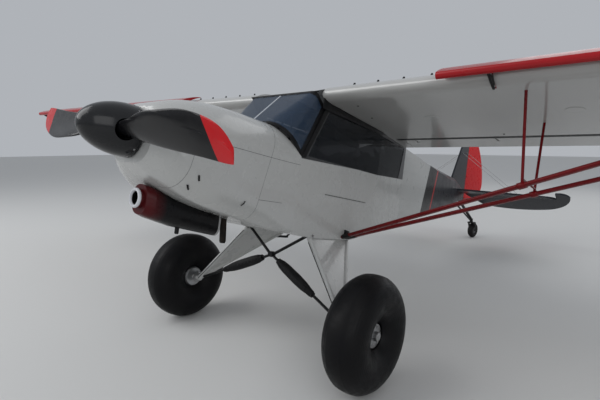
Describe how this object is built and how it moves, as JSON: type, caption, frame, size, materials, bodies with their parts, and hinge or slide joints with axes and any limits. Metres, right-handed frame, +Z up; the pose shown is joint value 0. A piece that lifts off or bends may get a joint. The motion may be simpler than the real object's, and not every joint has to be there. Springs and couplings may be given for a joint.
{
  "type": "tailwheel bush aeroplane",
  "caption": "Light high-wing aeroplane for two, parked on fat bush tyres, with a tail wheel, strut-braced wings, turning propeller and working control surfaces and doors.",
  "frame": {"origin": "bottom centre of the bounding box, on the ground the wheels stand on", "axes": "X across the span, +X to port; +Y aft along the ground, the nose faces -Y; +Z up from the ground"},
  "size_m": [10.72, 6.7285, 2.1808],
  "materials": {
    "silver_skin": "gloss light silver grey paint",
    "silver_cloth": "gloss painted cloth, light silver grey",
    "charcoal_cloth": "gloss painted cloth, dark blue-grey",
    "red_cloth": "gloss painted cloth, red",
    "red_metal": "gloss red paint",
    "black_trim": "satin black",
    "black_tube": "black paint on steel tube",
    "dark_gloss": "gloss dark grey paint",
    "blade": "black composite blade with a pale leading edge and a red tip",
    "clear": "clear, a little blue",
    "engine": "plain dark metal",
    "steel": "dull steel",
    "alloy": "machined alloy",
    "tyre_black": "smooth black tyre",
    "seat_cloth": "dark cloth"
  },
  "bodies": {
    "airframe": {"cowl_upper": "silver_skin", "cowl_lower": "silver_skin", "boot_cowl": "silver_skin", "engine_block": "engine", "intake_scoop": "black_trim", "exhaust_pipe": "steel", "windshield": "clear", "cabin_side_left": "silver_skin", "cabin_side_right": "silver_skin", "side_windows": "clear", "cabin_roof": "silver_skin", "skylight": "clear", "cabin_frame": "black_tube", "belly_panel": "silver_skin", "boarding_step": "black_tube", "instrument_panel": "black_trim", "front_seat": "seat_cloth", "rear_seat": "seat_cloth", "control_sticks": "black_tube", "rear_fuselage": "charcoal_cloth", "wing_left": "silver_cloth", "wing_right": "silver_cloth", "slat_left": "red_metal", "slat_right": "red_metal", "front_strut_left": "red_metal", "front_strut_right": "red_metal", "rear_strut_left": "red_metal", "rear_strut_right": "red_metal", "jury_strut_left": "red_metal", "jury_strut_right": "red_metal", "tie_down_left": "steel", "tie_down_right": "steel", "fin": "charcoal_cloth", "stabiliser": "charcoal_cloth", "gear_leg_left": "silver_skin", "gear_leg_right": "silver_skin", "gear_cabane": "black_tube", "shock_strut_left": "black_tube", "shock_strut_right": "black_tube", "tail_spring": "black_tube"},
    "propeller_unit": {"propeller": "blade", "spinner": "dark_gloss"},
    "main_wheel_left": {"main_hub_left": "alloy", "main_tyre_left": "tyre_black"},
    "main_wheel_right": {"main_hub_right": "alloy", "main_tyre_right": "tyre_black"},
    "rudder_body": {"rudder": "red_cloth"},
    "tail_fork_body": {"tail_fork": "black_tube"},
    "tail_wheel_body": {"tail_wheel": "tyre_black"},
    "elevator_body": {"elevators": "charcoal_cloth"},
    "aileron_left_body": {"aileron_left": "silver_cloth"},
    "aileron_right_body": {"aileron_right": "silver_cloth"},
    "flap_left_body": {"flap_left": "silver_cloth"},
    "flap_right_body": {"flap_right": "silver_cloth"},
    "door_lower_body": {"door_lower": "silver_skin"},
    "door_upper_body": {"door_upper": "black_trim", "door_window": "clear"}
  },
  "joints": [
    {"name": "propeller_spin", "type": "hinge", "parent": "airframe", "child": "propeller_unit", "pos_m": [0, -3.16088, 1.73284], "axis": [0, -0.9799, 0.1994], "continuous": true},
    {"name": "main_wheel_left_spin", "type": "hinge", "parent": "airframe", "child": "main_wheel_left", "pos_m": [0.995, -2.02, 0.3935], "axis": [1, 0, 0], "continuous": true},
    {"name": "main_wheel_right_spin", "type": "hinge", "parent": "airframe", "child": "main_wheel_right", "pos_m": [-0.995, -2.02, 0.3935], "axis": [1, 0, 0], "continuous": true},
    {"name": "rudder_hinge", "type": "hinge", "parent": "airframe", "child": "rudder_body", "pos_m": [0, 2.74112, 1.09844], "axis": [0, 0.1994, 0.9799], "range_deg": [-22, 38]},
    {"name": "tail_wheel_steering", "type": "hinge", "parent": "airframe", "child": "tail_fork_body", "pos_m": [0, 3.16496, 0.13], "axis": [0, 0, 1], "range_deg": [-22, 38]},
    {"name": "tail_wheel_spin", "type": "hinge", "parent": "tail_fork_body", "child": "tail_wheel_body", "pos_m": [0.00974, 3.23428, 0.13], "axis": [0.9903, -0.1392, 0], "continuous": true},
    {"name": "elevator_hinge", "type": "hinge", "parent": "airframe", "child": "elevator_body", "pos_m": [0, 2.6148, 0.85371], "axis": [1, 0, 0], "range_deg": [0, 48]},
    {"name": "aileron_left_hinge", "type": "hinge", "parent": "airframe", "child": "aileron_left_body", "pos_m": [3.92, -0.38355, 1.73073], "axis": [0.9999, 0.0031, 0.0154], "range_deg": [-22, 22]},
    {"name": "aileron_right_hinge", "type": "hinge", "parent": "airframe", "child": "aileron_right_body", "pos_m": [-3.92, -0.38355, 1.73073], "axis": [0.9999, -0.0031, -0.0154], "range_deg": [-22, 22]},
    {"name": "flap_left_hinge", "type": "hinge", "parent": "airframe", "child": "flap_left_body", "pos_m": [1.675, -0.39058, 1.69617], "axis": [-0.9999, -0.0031, -0.0154], "range_deg": [0, 50]},
    {"name": "flap_right_hinge", "type": "hinge", "parent": "airframe", "child": "flap_right_body", "pos_m": [-1.675, -0.39058, 1.69617], "axis": [-0.9999, 0.0031, 0.0154], "range_deg": [0, 50]},
    {"name": "door_lower_hinge", "type": "hinge", "parent": "airframe", "child": "door_lower_body", "pos_m": [-0.378, -1.31625, 1.06875], "axis": [0, -0.9799, 0.1994], "range_deg": [0, 90]},
    {"name": "door_upper_hinge", "type": "hinge", "parent": "airframe", "child": "door_upper_body", "pos_m": [-0.378, -1.16473, 1.81349], "axis": [0, 0.9799, -0.1994], "range_deg": [0, 85]}
  ],
  "couplings": [
    {"joint": "tail_wheel_steering", "follows": "rudder_hinge", "ratio": 1},
    {"joint": "aileron_right_hinge", "follows": "aileron_left_hinge", "ratio": -1},
    {"joint": "flap_right_hinge", "follows": "flap_left_hinge", "ratio": 1}
  ]
}
